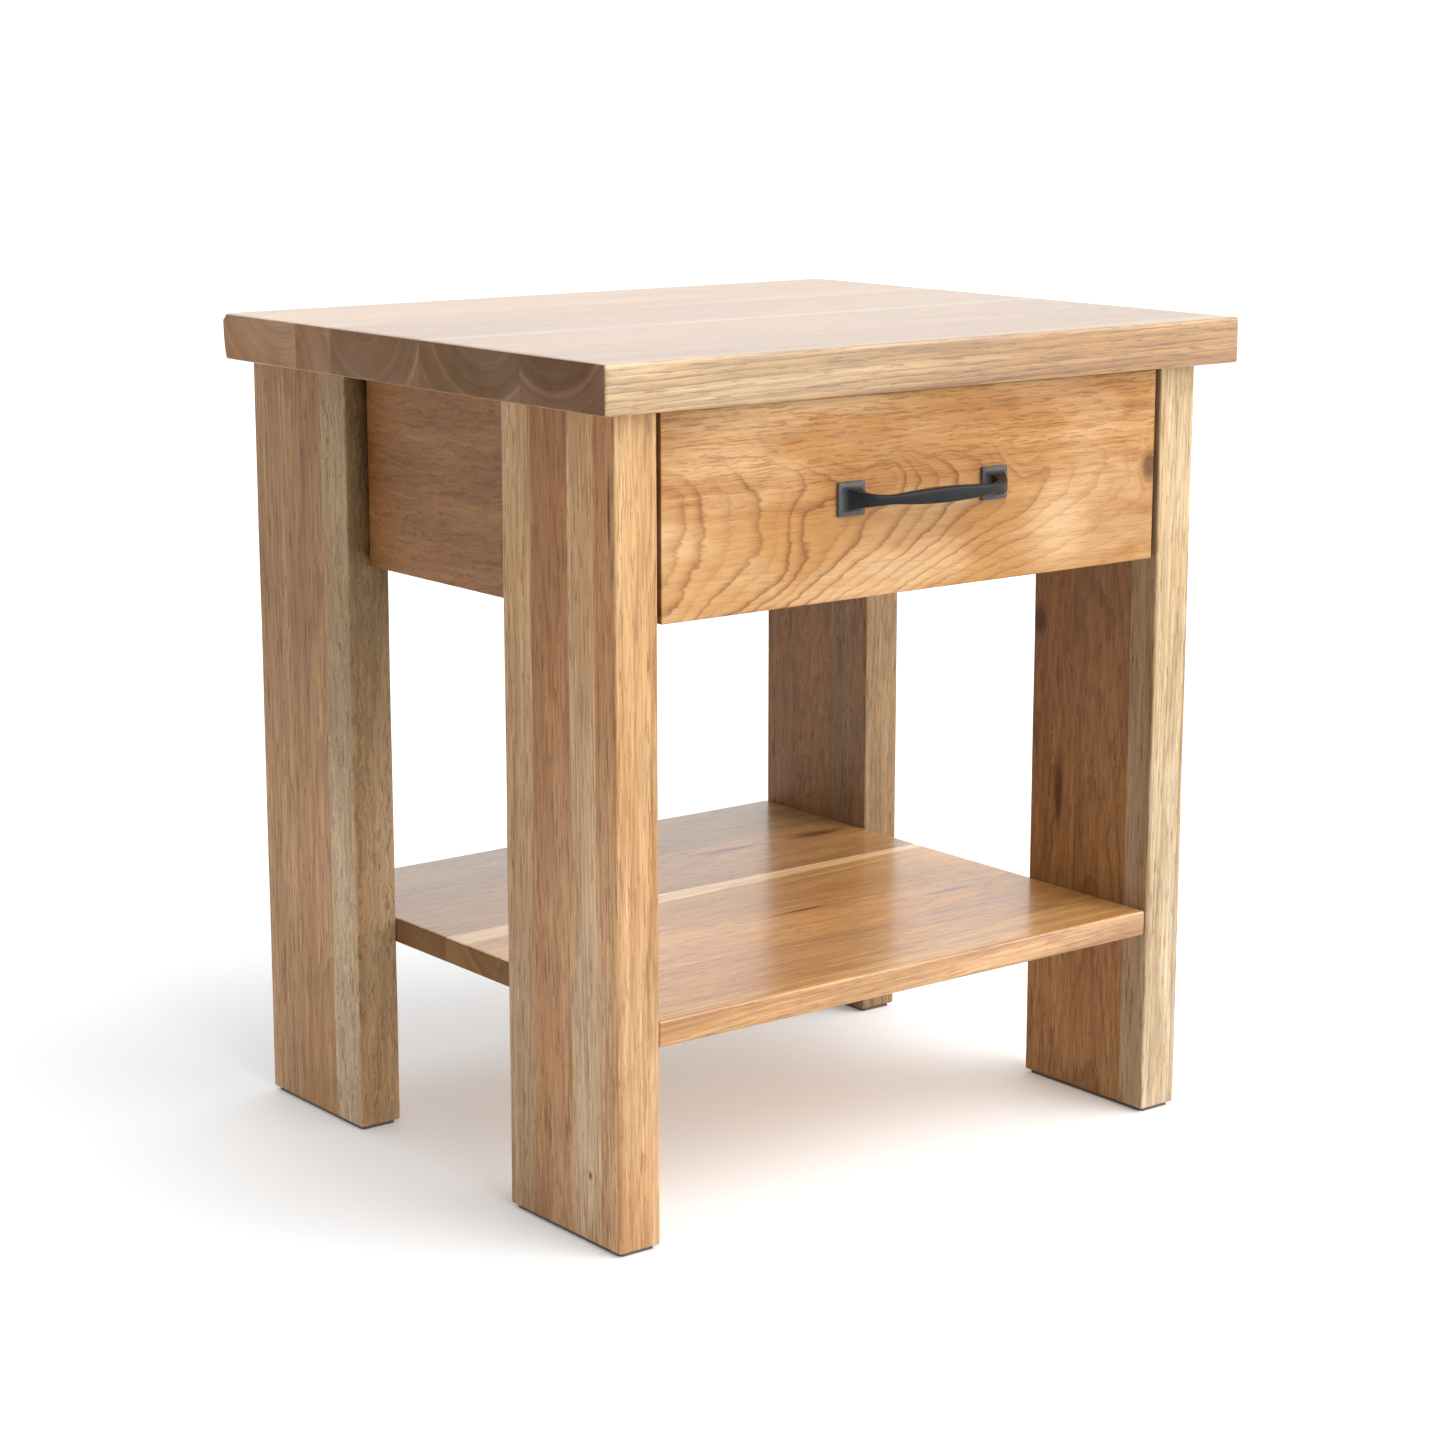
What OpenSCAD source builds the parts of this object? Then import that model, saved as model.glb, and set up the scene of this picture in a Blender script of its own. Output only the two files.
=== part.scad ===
// Side table with one inset drawer and a lower shelf.
// Millimetres. +Z is up, the drawer opens towards -Y, and +X is to the right of someone facing the drawer.
// The origin is on the floor, at the middle of the table's whole plan, pull included.

/* [Tabletop] */
// Width of the tabletop, side to side
top_w = 560; // [540:5:620]
// Depth of the tabletop, front to back
top_d = 474; // [464:2:520]
// Thickness of the tabletop
top_t = 33; // [28:1:40]
// Height of the table, felt pads included
table_h = 592; // [560:1:640]
// Overhang of the top past the legs at the front
top_front_overhang = 21; // [14:1:26]
// Overhang of the top past the legs at the back
top_rear_overhang = 4; // [2:1:12]
// Overhang of the top past the legs at each side
top_side_overhang = 22; // [14:1:30]

/* [Legs and aprons] */
// Thickness of a leg, side to side
leg_t = 34; // [32:1:40]
// Width of a leg, front to back
leg_w = 127; // [120:1:134]
// Thickness of the felt pads
pad_t = 2.5; // [2:0.5:5]
// How far the felt pads are set in from the leg's edges
pad_inset = 3; // [3:0.5:8]
// Height of the aprons above the floor
apron_bottom = 419; // [405:1:425]
// Thickness of the side aprons
side_apron_t = 16; // [15:1:19]
// Thickness of the rear apron
rear_apron_t = 19; // [16:1:22]

/* [Shelf] */
// Height of the shelf's top face
shelf_top = 157; // [120:1:220]
// Thickness of the shelf
shelf_t = 19; // [16:1:25]
// Diameter of the shelf dowels
dowel_d = 8; // [6:1:10]

/* [Drawer] */
// Thickness of the drawer front
front_t = 20; // [18:1:22]
// How far the drawer front is set back from the legs
front_setback = 1.5; // [0.5:0.5:3]
// Gap at each side of the drawer front
front_side_gap = 3.5; // [2:0.5:5]
// Gap over the drawer front
front_top_gap = 2.5; // [2:0.5:4]
// Height of the drawer box
box_h = 100; // [92:1:104]
// Thickness of the drawer box sides
side_t = 12.7; // [12:0.1:14]
// Length of the drawer slides, which is also the drawer's travel
slide_l = 350; // [340:1:360]

/* [Pull] */
// Distance between the centres of the pull's two feet
pull_centres = 128; // [96:1:160]
// Width of the square foot plates
pull_foot = 23; // [20:1:26]
// How far the pull stands out from the drawer front
pull_reach = 28; // [25:1:32]

/* [Hidden] */
$fn = 48;

// Colours
oak_top = "#c9a27c";
oak_leg = "#b98a5c";
oak_light = "#d2a873";
oak_dark = "#a87650";
box_wood = "#dcc39a";
black_iron = "#26282b";
zinc = "#b9bcc0";
ball_steel = "#d9dde2";
felt = "#4a372c";

// Plan. The whole depth runs from the pull's face to the top's back edge.
pull_proud = pull_reach - front_setback - top_front_overhang;
plan_d = top_d + max(0, pull_proud);
top_back_y = plan_d / 2;
top_front_y = top_back_y - top_d;
leg_front_y = top_front_y + top_front_overhang;
leg_back_y = top_back_y - top_rear_overhang;
leg_outer_x = top_w / 2 - top_side_overhang;
leg_inner_x = leg_outer_x - leg_t;
bay_w = 2 * leg_inner_x;

// Heights
top_bottom = table_h - top_t;
leg_h = top_bottom - pad_t;
apron_h = top_bottom - apron_bottom;

// Joinery
edge = 1.5;
tenon_t = 8;
tenon_l = 30;
tenon_shoulder = 10;
rear_apron_y = leg_back_y - 4 - rear_apron_t;
rear_tenon_l = 22;
rail_t = 19;
rail_d = 60;
rail_y = leg_front_y + front_setback + front_t + 1;
rail_tenon_t = 9;
rail_tenon_d = 40;
shelf_setback = 1;
dowel_l = 40;
dowel_inset = 30;

// Drawer
front_w = bay_w - 2 * front_side_gap;
front_bottom = apron_bottom + 1;
front_h = top_bottom - front_top_gap - front_bottom;
front_y = leg_front_y + front_setback;
slide_t = 12.7;
box_w = bay_w - 2 * slide_t;
box_y = front_y + front_t;
box_l = slide_l;
box_bottom = front_bottom + 12;
box_front_t = 15;
box_back_t = 13;
panel_t = 6;
panel_groove = 5;
panel_z = box_bottom + 8;
tail_count = 4;
tail_slope = 2.2;

// Slides, measured from the frame's face towards the drawer
slide_z = box_bottom + box_h / 2;
slide_back_y = box_y + slide_l;
metal_t = 1.2;
cage_t = 0.8;
ball_d = 4;
ball_hole_d = 4.2;
outer_half_h = 22.5;
middle_half_h = 17.2;
inner_half_h = 11.9;
lip_depth = 0.8;
middle_x = 3;
outer_reach = 10;
middle_reach = 10.9;
inner_reach = 6.4;
outer_ball_x = 6.5;
inner_ball_x = 8;
outer_ball_z = (outer_half_h - metal_t + middle_half_h) / 2;
inner_ball_z = (middle_half_h - metal_t + inner_half_h) / 2;
outer_cage_x = [1.6, 9.4];
inner_cage_x = [4.8, 10.9];
cage_l = 150;
balls_in_row = 6;
ball_pitch = 26;
frame_screw_from_back = [11, 160, 315];
drawer_screw_from_back = [30, 175, 320];

// Screws: [length, shank diameter, head diameter, head height, head is flat]
slide_screw = [13, 3.5, 7, 2, true];
drawer_member_screw = [11.5, 3.5, 7, 2, true];
clip_screw = [15, 3.5, 7, 2, true];
front_screw = [30, 4.2, 8, 2.6, false];
rail_screw = [28, 4.2, 8, 2.6, false];
pull_screw_d = 4;
pull_screw_head_d = 8;
pull_screw_head_h = 2.6;
pull_screw_bite = 9;

// Top clips
clip_d = 19;
clip_t = 2.5;
clip_reach = 17;
side_clip_y = [-52, 62];
rear_clip_x = [-110, 110];
rail_screw_x = [-130, 130];
front_screw_x = [-150, 150];
front_screw_rise = [24, 76];

// Pull. A section is [from the foot's centre towards the middle, out from the drawer front, depth, height].
pull_z = front_bottom + front_h / 2;
foot_plate_t = 2.5;
foot_raised_w = 17;
foot_raised_t = 1.5;
section_t = 0.5;
pull_shoulder = [3.5, 12, 9, 9];
pull_neck = [15, 20, 6.5, 6.4];
pull_swell = [38, pull_reach - 5.2, 8.4, 9.6];
pull_middle = [pull_centres / 2, pull_reach - 4.4, 8.8, 10.6];

// ---------- shared shapes ----------

module cut_corner_rectangle(w, h, c) {
    polygon([[c, 0], [w - c, 0], [w, c], [w, h - c], [w - c, h], [c, h], [0, h - c], [0, c]]);
}

// A board with all its edges eased, its lowest corner at the origin
module board(size, ease = edge) {
    intersection() {
        linear_extrude(size.z) cut_corner_rectangle(size.x, size.y, ease);
        translate([0, size.y, 0]) rotate([90, 0, 0])
            linear_extrude(size.y) cut_corner_rectangle(size.x, size.z, ease);
        rotate([90, 0, 90]) linear_extrude(size.x) cut_corner_rectangle(size.y, size.z, ease);
    }
}

module right_of(is_right) {
    mirror([is_right ? 1 : 0, 0, 0]) children();
}

// A screw along +Z whose head stands under the origin, or is sunk flush with it where the head is flat
module screw_body(s) {
    tip = s[1];
    if (s[4]) {
        cylinder(h = s[3], d1 = s[2], d2 = s[1]);
    } else {
        translate([0, 0, -s[3]]) cylinder(h = s[3], d = s[2]);
    }
    cylinder(h = s[0] - tip, d = s[1]);
    translate([0, 0, s[0] - tip]) cylinder(h = tip, d1 = s[1], d2 = 0.4);
}

module screw(s) {
    drive = s[1] * 0.7;
    drive_h = s[3] * 0.7;
    top = s[4] ? 0 : -s[3];
    difference() {
        screw_body(s);
        translate([-drive / 2, -drive / 2, top - 1]) cube([drive, drive, drive_h + 1]);
    }
}

// ---------- frame ----------

module side_apron_solid() {
    length = leg_back_y - leg_front_y - 2 * leg_w;
    translate([-leg_inner_x - side_apron_t, leg_front_y + leg_w, apron_bottom])
        board([side_apron_t, length, apron_h], 0.8);
    side_apron_tenons();
}

module side_apron_tenons() {
    length = leg_back_y - leg_front_y - 2 * leg_w + 2 * tenon_l;
    translate([
        -leg_inner_x - side_apron_t / 2 - tenon_t / 2,
        leg_front_y + leg_w - tenon_l,
        apron_bottom + tenon_shoulder
    ])
        cube([tenon_t, length, apron_h - 2 * tenon_shoulder]);
}

module rear_apron_tenons() {
    length = bay_w + 2 * rear_tenon_l;
    translate([-length / 2, rear_apron_y + (rear_apron_t - tenon_t) / 2, apron_bottom + tenon_shoulder])
        cube([length, tenon_t, apron_h - 2 * tenon_shoulder]);
}

module rail_tenons() {
    length = bay_w + 2 * rear_tenon_l;
    translate([
        -length / 2,
        rail_y + (rail_d - rail_tenon_d) / 2,
        top_bottom - (rail_t + rail_tenon_t) / 2
    ])
        cube([length, rail_tenon_d, rail_tenon_t]);
}

module shelf_dowel_set() {
    dowel_y = [
        leg_front_y + dowel_inset, leg_front_y + leg_w - dowel_inset,
        leg_back_y - leg_w + dowel_inset, leg_back_y - dowel_inset
    ];
    for (side = [-1, 1], y = dowel_y) {
        translate([side * leg_inner_x - dowel_l / 2, y, shelf_top - shelf_t / 2])
            rotate([0, 90, 0]) cylinder(h = dowel_l, d = dowel_d);
    }
}

module leg(is_front, is_right) {
    y = is_front ? leg_front_y : leg_back_y - leg_w;
    difference() {
        right_of(is_right) translate([-leg_outer_x, y, pad_t]) board([leg_t, leg_w, leg_h]);
        right_of(is_right) side_apron_tenons();
        if (is_front) {
            rail_tenons();
        } else {
            rear_apron_tenons();
        }
        shelf_dowel_set();
        right_of(is_right) slide_frame_screws(false);
    }
}

module pad(is_front, is_right) {
    y = is_front ? leg_front_y : leg_back_y - leg_w;
    right_of(is_right)
        translate([-leg_outer_x + pad_inset, y + pad_inset, 0])
            linear_extrude(pad_t)
                cut_corner_rectangle(leg_t - 2 * pad_inset, leg_w - 2 * pad_inset, 2);
}

module side_apron(is_right) {
    difference() {
        right_of(is_right) side_apron_solid();
        right_of(is_right) slide_frame_screws(false);
        clip_recesses();
        clip_screw_set(false);
    }
}

module tabletop() {
    color(oak_top)
        difference() {
            translate([-top_w / 2, top_front_y, top_bottom]) board([top_w, top_d, top_t], 2);
            clip_screw_set(false);
            rail_screw_set(false);
        }
}

module front_left_leg() {
    color(oak_leg) leg(true, false);
}

module front_right_leg() {
    color(oak_light) leg(true, true);
}

module rear_left_leg() {
    color(oak_leg) leg(false, false);
}

module rear_right_leg() {
    color(oak_light) leg(false, true);
}

module left_apron() {
    color(oak_dark) side_apron(false);
}

module right_apron() {
    color(oak_dark) side_apron(true);
}

module rear_apron() {
    color(oak_dark)
        difference() {
            union() {
                translate([-leg_inner_x, rear_apron_y, apron_bottom])
                    board([bay_w, rear_apron_t, apron_h], 0.8);
                rear_apron_tenons();
            }
            clip_recesses();
            clip_screw_set(false);
        }
}

module front_top_rail() {
    color(oak_light)
        difference() {
            union() {
                translate([-leg_inner_x, rail_y, top_bottom - rail_t]) board([bay_w, rail_d, rail_t], 0.8);
                rail_tenons();
            }
            rail_screw_set(false);
        }
}

module lower_shelf() {
    y = leg_front_y + shelf_setback;
    color(oak_light)
        difference() {
            translate([-leg_inner_x, y, shelf_top - shelf_t]) board([bay_w, leg_back_y - y, shelf_t]);
            shelf_dowel_set();
        }
}

module shelf_dowels() {
    color(box_wood) shelf_dowel_set();
}

module front_left_pad() {
    color(felt) pad(true, false);
}

module front_right_pad() {
    color(felt) pad(true, true);
}

module rear_left_pad() {
    color(felt) pad(false, false);
}

module rear_right_pad() {
    color(felt) pad(false, true);
}

// ---------- what holds the top ----------

// Runs its children at every clip: the origin is over the apron's middle, and +X points into the table
module at_clips() {
    for (side = [0, 1], y = side_clip_y) {
        right_of(side == 1)
            translate([-leg_inner_x - side_apron_t / 2, y, top_bottom]) children();
    }
    for (x = rear_clip_x) {
        translate([x, rear_apron_y + rear_apron_t / 2, top_bottom]) rotate([0, 0, -90]) children();
    }
}

module clip_blank() {
    translate([0, 0, -clip_t]) {
        cylinder(h = clip_t, d = clip_d);
        translate([clip_reach, 0, 0]) cylinder(h = clip_t, d = clip_d);
    }
}

module clip_recesses() {
    at_clips() clip_blank();
}

module clip_screw_set(with_drive) {
    at_clips() {
        rotate([180, 0, 0]) if_drive(with_drive, clip_screw);
        translate([clip_reach, 0, -clip_t]) if_drive(with_drive, clip_screw);
    }
}

module if_drive(with_drive, s) {
    if (with_drive) {
        screw(s);
    } else {
        screw_body(s);
    }
}

module rail_screw_set(with_drive) {
    for (x = rail_screw_x) {
        translate([x, rail_y + rail_d / 2, top_bottom - rail_t + 4]) {
            if_drive(with_drive, rail_screw);
            if (!with_drive) {
                translate([0, 0, -6]) cylinder(h = 6, d = rail_screw[2] + 2);
            }
        }
    }
}

module tabletop_clips() {
    color(zinc)
        difference() {
            at_clips() clip_blank();
            clip_screw_set(false);
        }
}

module tabletop_clip_screws() {
    color(zinc) clip_screw_set(true);
}

module top_rail_screws() {
    color(zinc) rail_screw_set(true);
}

// ---------- drawer ----------

module drawer_front() {
    color(oak_light)
        difference() {
            translate([-front_w / 2, front_y, front_bottom]) board([front_w, front_t, front_h], 1);
            front_screw_set(false);
            pull_screw_set(false);
        }
}

// The dovetails of one corner of a side board, as one outline in the board's own plane: u from the end, v up
module tail_outline(depth) {
    pitch = box_h / tail_count;
    root = pitch * 0.5;
    for (i = [0 : tail_count - 1]) {
        v = pitch * (i + 0.5);
        polygon([
            [0, v - root / 2 - tail_slope],
            [depth, v - root / 2],
            [depth, v + root / 2],
            [0, v + root / 2 + tail_slope]
        ]);
    }
}

module side_board_solid() {
    x = -box_w / 2;
    body_y = box_y + box_front_t;
    body_l = box_l - box_front_t - box_back_t;
    translate([x, body_y, box_bottom]) cube([side_t, body_l, box_h]);
    translate([x, box_y, box_bottom]) rotate([90, 0, 90]) linear_extrude(side_t) tail_outline(box_front_t);
    translate([x, box_y + box_l, box_bottom])
        mirror([0, 1, 0]) rotate([90, 0, 90]) linear_extrude(side_t) tail_outline(box_back_t);
}

module panel_solid() {
    w = box_w - 2 * side_t + 2 * panel_groove;
    l = box_l - box_front_t - box_back_t + 2 * panel_groove;
    translate([-w / 2, box_y + box_front_t - panel_groove, panel_z]) cube([w, l, panel_t]);
}

module box_end(y, t) {
    difference() {
        translate([-box_w / 2, y, box_bottom]) cube([box_w, t, box_h]);
        side_board_solid();
        right_of(true) side_board_solid();
        panel_solid();
        front_screw_set(false);
        pull_screw_set(false);
    }
}

module box_side(is_right) {
    difference() {
        right_of(is_right) side_board_solid();
        panel_solid();
        right_of(is_right) slide_drawer_screws(false);
    }
}

module drawer_box_front() {
    color(box_wood) box_end(box_y, box_front_t);
}

module drawer_box_back() {
    color(box_wood) box_end(box_y + box_l - box_back_t, box_back_t);
}

module drawer_left_side() {
    color(box_wood) box_side(false);
}

module drawer_right_side() {
    color(box_wood) box_side(true);
}

module drawer_bottom() {
    color(box_wood) panel_solid();
}

module front_screw_set(with_drive) {
    for (x = front_screw_x, rise = front_screw_rise) {
        translate([x, box_y + box_front_t, box_bottom + rise])
            rotate([90, 0, 0]) if_drive(with_drive, front_screw);
    }
}

module drawer_front_screws() {
    color(zinc) front_screw_set(true);
}

// ---------- pull ----------

// Runs its children at the left foot: the origin is on the drawer front's face, +Z points out of it, +Y is up
module at_left_foot() {
    translate([-pull_centres / 2, front_y, pull_z]) rotate([90, 0, 0]) children();
}

module plate(w, t) {
    translate([-w / 2, -w / 2, 0]) linear_extrude(t) cut_corner_rectangle(w, w, 0.8);
}

// A thin upright slice of the arm or the bar, measured from a foot
module pull_slice(section) {
    translate([section[0] - section_t / 2, -section[3] / 2, section[1] - section[2] / 2])
        rotate([90, 0, 90]) linear_extrude(section_t)
            cut_corner_rectangle(section[3], section[2], min(section[2], section[3]) * 0.22);
}

// One foot with its arm, which sweeps in towards the middle of the pull
module pull_arm() {
    plate(pull_foot, foot_plate_t);
    hull() {
        plate(foot_raised_w, foot_plate_t + foot_raised_t);
        pull_slice(pull_shoulder);
    }
    hull() {
        pull_slice(pull_shoulder);
        pull_slice(pull_neck);
    }
    hull() {
        pull_slice(pull_neck);
        pull_slice(pull_swell);
    }
}

module pull_bar() {
    hull() {
        at_left_foot() pull_slice(pull_swell);
        at_left_foot() pull_slice(pull_middle);
        right_of(true) at_left_foot() pull_slice(pull_swell);
    }
}

module drawer_pull() {
    color(black_iron)
        difference() {
            union() {
                at_left_foot() pull_arm();
                right_of(true) at_left_foot() pull_arm();
                pull_bar();
            }
            pull_screw_set(false);
        }
}

module pull_screw_set(with_drive) {
    length = box_front_t + front_t + pull_screw_bite;
    for (side = [-1, 1]) {
        translate([side * pull_centres / 2, box_y + box_front_t, pull_z]) rotate([90, 0, 0])
            difference() {
                union() {
                    cylinder(h = length, d = pull_screw_d);
                    translate([0, 0, -pull_screw_head_h]) cylinder(h = pull_screw_head_h, d = pull_screw_head_d);
                }
                if (with_drive) {
                    translate([-1.4, -1.4, -pull_screw_head_h - 1]) cube([2.8, 2.8, 2.8]);
                }
            }
    }
}

module pull_screws() {
    color(zinc) pull_screw_set(true);
}

// ---------- slides, drawn for the left side ----------

// Extrudes a section whose first axis runs from the frame to the drawer, and whose second is up
module along_slide(from_back, length) {
    translate([-leg_inner_x, slide_back_y - from_back, slide_z]) rotate([90, 0, 0])
        linear_extrude(length) children();
}

// A channel of thin metal: its web's outer face is at web_x and its flanges reach to x = reach, where each has a
// lip of the given depth turned back towards the middle
module channel_section(web_x, reach, half_h, t, lip = 0) {
    way = reach > web_x ? 1 : -1;
    web_inside = web_x + way * t;
    lip_inside = reach - way * 0.9;
    flange_z = half_h - t;
    lip_points = lip > 0 ? [[lip_inside, flange_z], [lip_inside, flange_z - lip], [reach, flange_z - lip]]
        : [[reach, flange_z]];
    upper = concat([[web_inside, flange_z]], lip_points, [[reach, half_h], [web_x, half_h]]);
    lower = [for (i = [len(upper) - 1 : -1 : 0]) [upper[i].x, -upper[i].y]];
    polygon(concat(upper, lower));
}

module outer_section() {
    channel_section(0, outer_reach, outer_half_h, metal_t, lip_depth);
}

module middle_section() {
    channel_section(middle_x, middle_reach, middle_half_h, metal_t, lip_depth);
}

module inner_section() {
    channel_section(slide_t, inner_reach, inner_half_h, metal_t);
}

module cage_section(x0, x1, ball_z) {
    channel_section(x0, x1, ball_z + cage_t / 2, cage_t);
}

// Runs its children at every ball of one cage
module at_balls(x, z) {
    first = (slide_l - (balls_in_row - 1) * ball_pitch) / 2;
    for (row = [-1, 1], i = [0 : balls_in_row - 1]) {
        translate([-leg_inner_x + x, slide_back_y - first - i * ball_pitch, slide_z + row * z]) children();
    }
}

module ball_cage(cage_x, ball_x, ball_z) {
    difference() {
        along_slide((slide_l - cage_l) / 2, cage_l) cage_section(cage_x[0], cage_x[1], ball_z);
        at_balls(ball_x, ball_z)
            translate([0, 0, -cage_t]) cylinder(h = 2 * cage_t, d = ball_hole_d);
    }
}

module balls(ball_x, ball_z) {
    at_balls(ball_x, ball_z) sphere(d = ball_d);
}

module slide_frame_screws(with_drive) {
    for (s = frame_screw_from_back) {
        translate([-leg_inner_x + metal_t, slide_back_y - s, slide_z])
            rotate([0, -90, 0]) if_drive(with_drive, slide_screw);
    }
}

module slide_drawer_screws(with_drive) {
    for (s = drawer_screw_from_back) {
        translate([-leg_inner_x + slide_t - metal_t, slide_back_y - s, slide_z])
            rotate([0, 90, 0]) if_drive(with_drive, drawer_member_screw);
    }
}

module slide_outer(is_right) {
    color(zinc)
        right_of(is_right)
            difference() {
                along_slide(0, slide_l) outer_section();
                slide_frame_screws(false);
            }
}

module slide_middle(is_right) {
    color(zinc) right_of(is_right) along_slide(0, slide_l) middle_section();
}

module slide_inner(is_right) {
    color(zinc)
        right_of(is_right)
            difference() {
                along_slide(0, slide_l) inner_section();
                slide_drawer_screws(false);
            }
}

module left_slide_outer() {
    slide_outer(false);
}

module right_slide_outer() {
    slide_outer(true);
}

module left_slide_middle() {
    slide_middle(false);
}

module right_slide_middle() {
    slide_middle(true);
}

module left_slide_inner() {
    slide_inner(false);
}

module right_slide_inner() {
    slide_inner(true);
}

module outer_ball_cage(is_right) {
    color(zinc) right_of(is_right) ball_cage(outer_cage_x, outer_ball_x, outer_ball_z);
}

module inner_ball_cage(is_right) {
    color(zinc) right_of(is_right) ball_cage(inner_cage_x, inner_ball_x, inner_ball_z);
}

module outer_balls(is_right) {
    color(ball_steel) right_of(is_right) balls(outer_ball_x, outer_ball_z);
}

module inner_balls(is_right) {
    color(ball_steel) right_of(is_right) balls(inner_ball_x, inner_ball_z);
}

module frame_screws(is_right) {
    color(zinc) right_of(is_right) slide_frame_screws(true);
}

module drawer_member_screws(is_right) {
    color(zinc) right_of(is_right) slide_drawer_screws(true);
}

// ---------- nodes ----------

tabletop();
front_left_leg();
front_right_leg();
rear_left_leg();
rear_right_leg();
left_apron();
right_apron();
rear_apron();
front_top_rail();
lower_shelf();
shelf_dowels();
front_left_pad();
front_right_pad();
rear_left_pad();
rear_right_pad();
tabletop_clips();
tabletop_clip_screws();
top_rail_screws();
drawer_front();
drawer_box_front();
drawer_box_back();
drawer_left_side();
drawer_right_side();
drawer_bottom();
drawer_pull();
pull_screws();
drawer_front_screws();
left_slide_outer();
right_slide_outer();
left_slide_middle();
right_slide_middle();
left_slide_inner();
right_slide_inner();
outer_ball_cage(false);  // left_outer_ball_cage
outer_ball_cage(true);  // right_outer_ball_cage
inner_ball_cage(false);  // left_inner_ball_cage
inner_ball_cage(true);  // right_inner_ball_cage
outer_balls(false);  // left_outer_balls
outer_balls(true);  // right_outer_balls
inner_balls(false);  // left_inner_balls
inner_balls(true);  // right_inner_balls
frame_screws(false);  // left_slide_frame_screws
frame_screws(true);  // right_slide_frame_screws
drawer_member_screws(false);  // left_slide_drawer_screws
drawer_member_screws(true);  // right_slide_drawer_screws
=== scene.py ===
import math
import random

import bmesh
import bpy
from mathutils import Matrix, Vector, noise


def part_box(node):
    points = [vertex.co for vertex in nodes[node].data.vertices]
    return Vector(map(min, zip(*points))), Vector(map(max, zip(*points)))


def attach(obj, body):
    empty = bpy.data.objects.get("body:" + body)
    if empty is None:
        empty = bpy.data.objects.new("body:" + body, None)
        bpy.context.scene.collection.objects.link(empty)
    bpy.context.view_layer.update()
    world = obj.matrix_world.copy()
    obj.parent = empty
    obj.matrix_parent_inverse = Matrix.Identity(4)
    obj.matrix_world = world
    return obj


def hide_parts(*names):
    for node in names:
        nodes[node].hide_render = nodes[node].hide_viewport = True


# Side table with one drawer: its looks, its light and its camera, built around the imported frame.
# Everything is in metres. -Y is the drawer's side, +X is to the right of someone facing it, and +Z is up.

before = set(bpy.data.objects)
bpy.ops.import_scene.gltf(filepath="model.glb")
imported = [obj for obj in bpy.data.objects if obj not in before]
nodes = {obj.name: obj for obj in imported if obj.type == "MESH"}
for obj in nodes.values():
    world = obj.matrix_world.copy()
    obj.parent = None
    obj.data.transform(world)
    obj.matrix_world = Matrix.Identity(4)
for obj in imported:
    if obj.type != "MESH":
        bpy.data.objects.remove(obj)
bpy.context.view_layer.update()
MM = 0.001
X, Y, Z = 0, 1, 2


# ---------------------------------------------------------------- shader trees

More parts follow.
